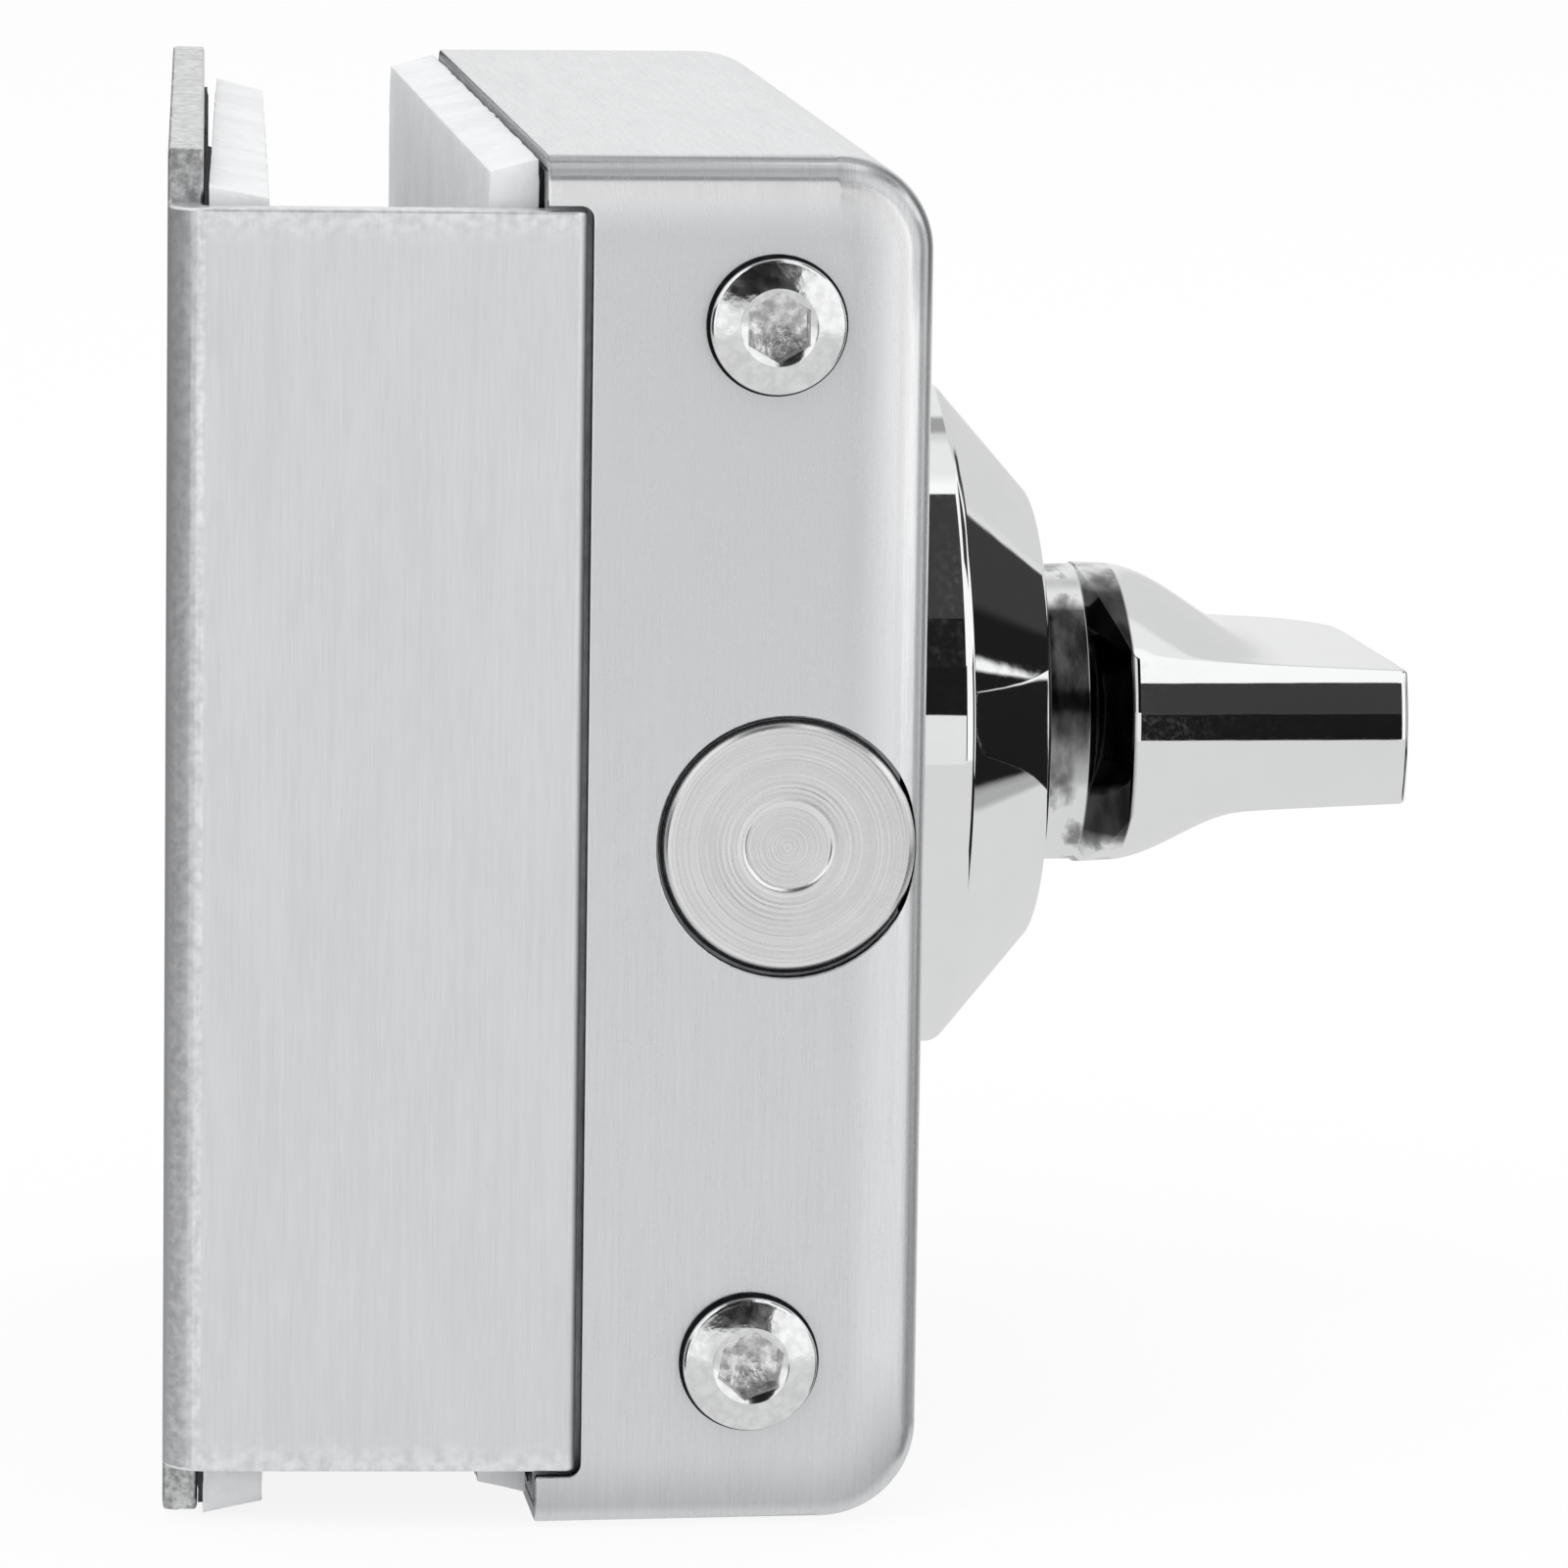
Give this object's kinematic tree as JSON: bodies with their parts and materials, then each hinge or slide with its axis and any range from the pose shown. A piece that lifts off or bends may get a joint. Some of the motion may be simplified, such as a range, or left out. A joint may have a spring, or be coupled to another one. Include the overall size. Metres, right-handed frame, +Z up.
{
  "type": "glass door lock",
  "caption": "Clamp-on lock for a frameless glass door: steel case, wrap-round clamp plate, soft pads, round bolt and chrome thumb turn on a rose.",
  "frame": {"origin": "where the thumb turn's axis meets the glass face of the inner gasket", "axes": "+X out through the thumb turn, -Y the way the bolt leaves, +Z up along the door's edge"},
  "size_m": [0.0858, 0.0888, 0.086],
  "materials": {
    "brushed_case": "brushed satin stainless steel, grain along Z on the end face and along Y elsewhere",
    "plain_steel": "plain rolled steel",
    "turned_steel": "turned steel with fine rings",
    "cast_block": "as machined",
    "chrome": "polished chrome plate",
    "bright_screw": "bright nickel plate",
    "bronze": "plain bearing bronze",
    "white_pad": "milky soft plastic",
    "dark_tape": "foam tape"
  },
  "bodies": {
    "case": {"cover": "brushed_case", "base_plate": "plain_steel", "cover_blocks": "cast_block", "bolt_housing": "cast_block", "pinion_bridge": "plain_steel", "rose": "chrome", "turn_bush": "bronze", "inner_gasket": "white_pad", "inner_gasket_tape": "dark_tape", "cover_screws": "bright_screw", "block_screws": "bright_screw", "housing_screws": "bright_screw", "bridge_screws": "bright_screw", "rose_screws": "bright_screw"},
    "turn": {"thumb_turn": "chrome", "turn_set_screw": "plain_steel", "spindle": "plain_steel", "drive_pinion": "plain_steel", "retaining_ring": "plain_steel", "friction_washer": "bronze"},
    "bolt": {"bolt": "turned_steel"},
    "clamp": {"clamp_plate": "brushed_case", "outer_gasket": "white_pad", "outer_gasket_tape": "dark_tape", "clamp_sleeves": "plain_steel", "clamp_screws": "bright_screw"}
  },
  "joints": [
    {"name": "thumb_turn_spin", "type": "hinge", "parent": "case", "child": "turn", "pos_m": [0, 0, 0], "axis": [1, 0, 0], "range_deg": [0, 90]},
    {"name": "bolt_slide", "type": "slide", "parent": "case", "child": "bolt", "axis": [0, -1, 0], "range_m": [0, 0.01414]},
    {"name": "clamp_plate_tilt", "type": "hinge", "parent": "case", "child": "clamp", "pos_m": [0.006, -0.0569, 0], "axis": [0, 0, 1], "range_deg": [0, 3.2]}
  ],
  "couplings": [
    {"joint": "bolt_slide", "follows": "thumb_turn_spin", "m_per_rad": 0.009}
  ]
}
